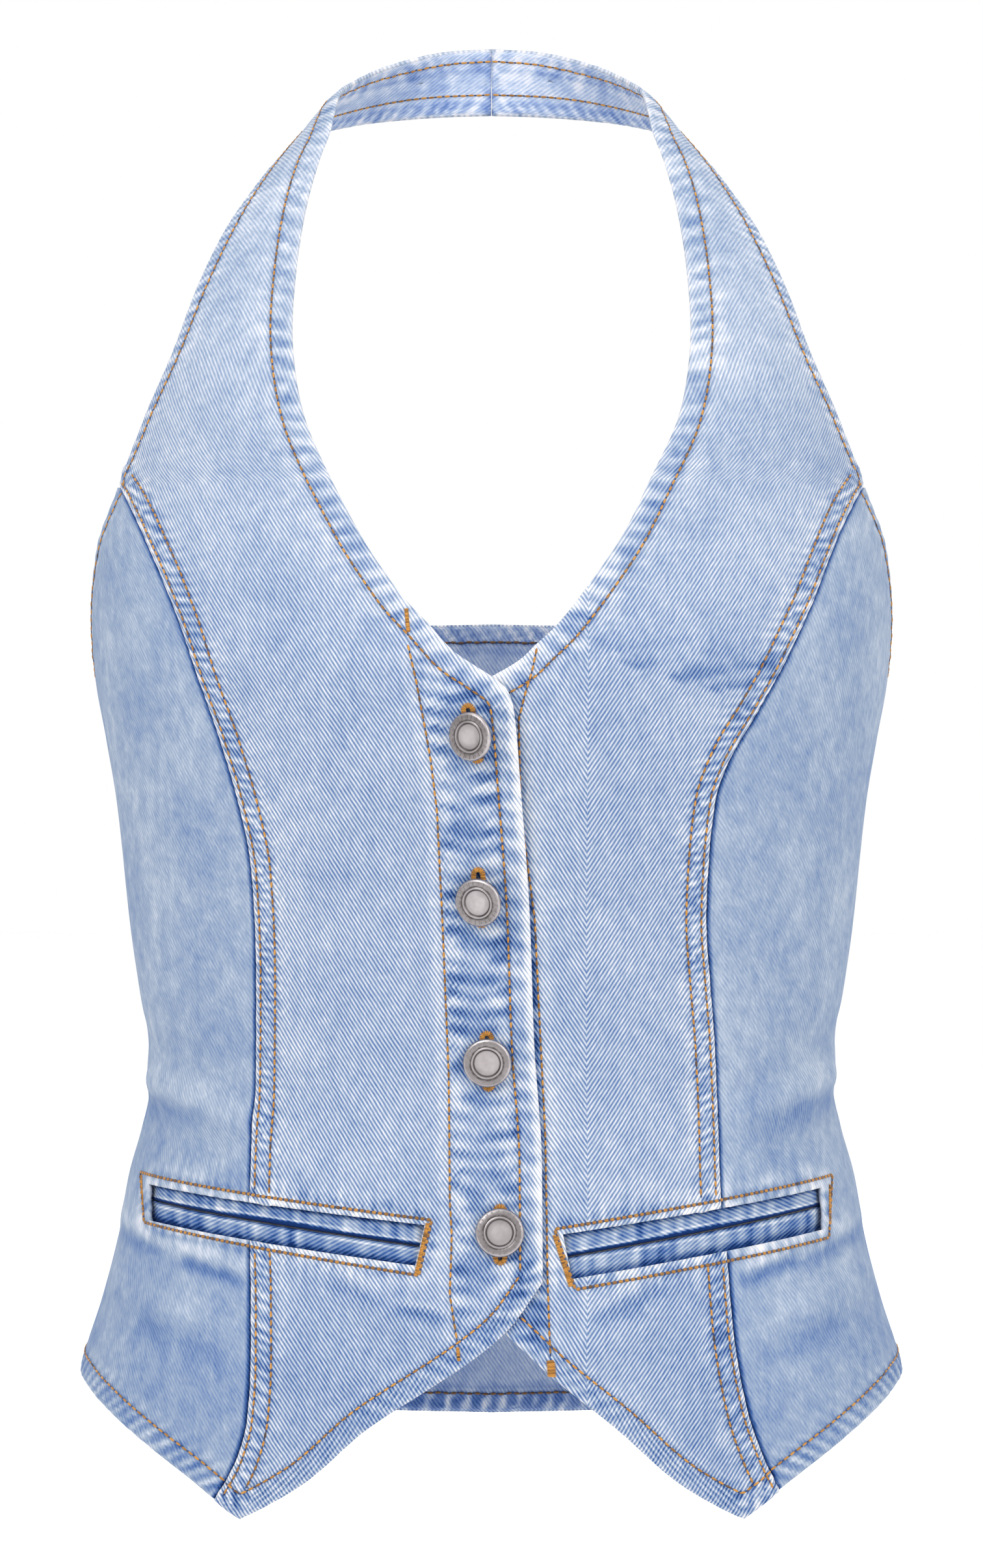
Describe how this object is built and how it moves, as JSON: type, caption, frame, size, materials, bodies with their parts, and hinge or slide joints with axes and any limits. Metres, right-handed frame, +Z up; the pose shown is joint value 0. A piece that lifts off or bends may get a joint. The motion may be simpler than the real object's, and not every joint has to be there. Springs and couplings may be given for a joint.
{
  "type": "halter-neck denim waistcoat",
  "caption": "Worn-form halter-neck denim waistcoat with pointed fronts, princess seams, slanting welt pockets, shank buttons and a low straight back.",
  "frame": {"origin": "inner face of the neckband at the centre back, half way up the band, where the wearer's nape holds the garment", "axes": "+Z up along the wearer's height, +X towards the wearer's left side, -Y the way the wearer faces"},
  "size_m": [0.3292, 0.2523, 0.5909],
  "materials": {
    "denim": "light-washed cotton twill",
    "pocketing": "plain cotton pocketing",
    "button_metal": "satin nickel",
    "thread": "spun topstitching thread"
  },
  "bodies": {
    "root": {"front_right": "denim", "side_front_right": "denim", "front_left": "denim", "side_front_left": "denim", "back": "denim", "welt_upper_right": "denim", "welt_lower_right": "denim", "pocket_bag_right": "pocketing", "welt_upper_left": "denim", "welt_lower_left": "denim", "pocket_bag_left": "pocketing", "button_1": "button_metal", "button_2": "button_metal", "button_3": "button_metal", "button_4": "button_metal"}
  },
  "joints": []
}
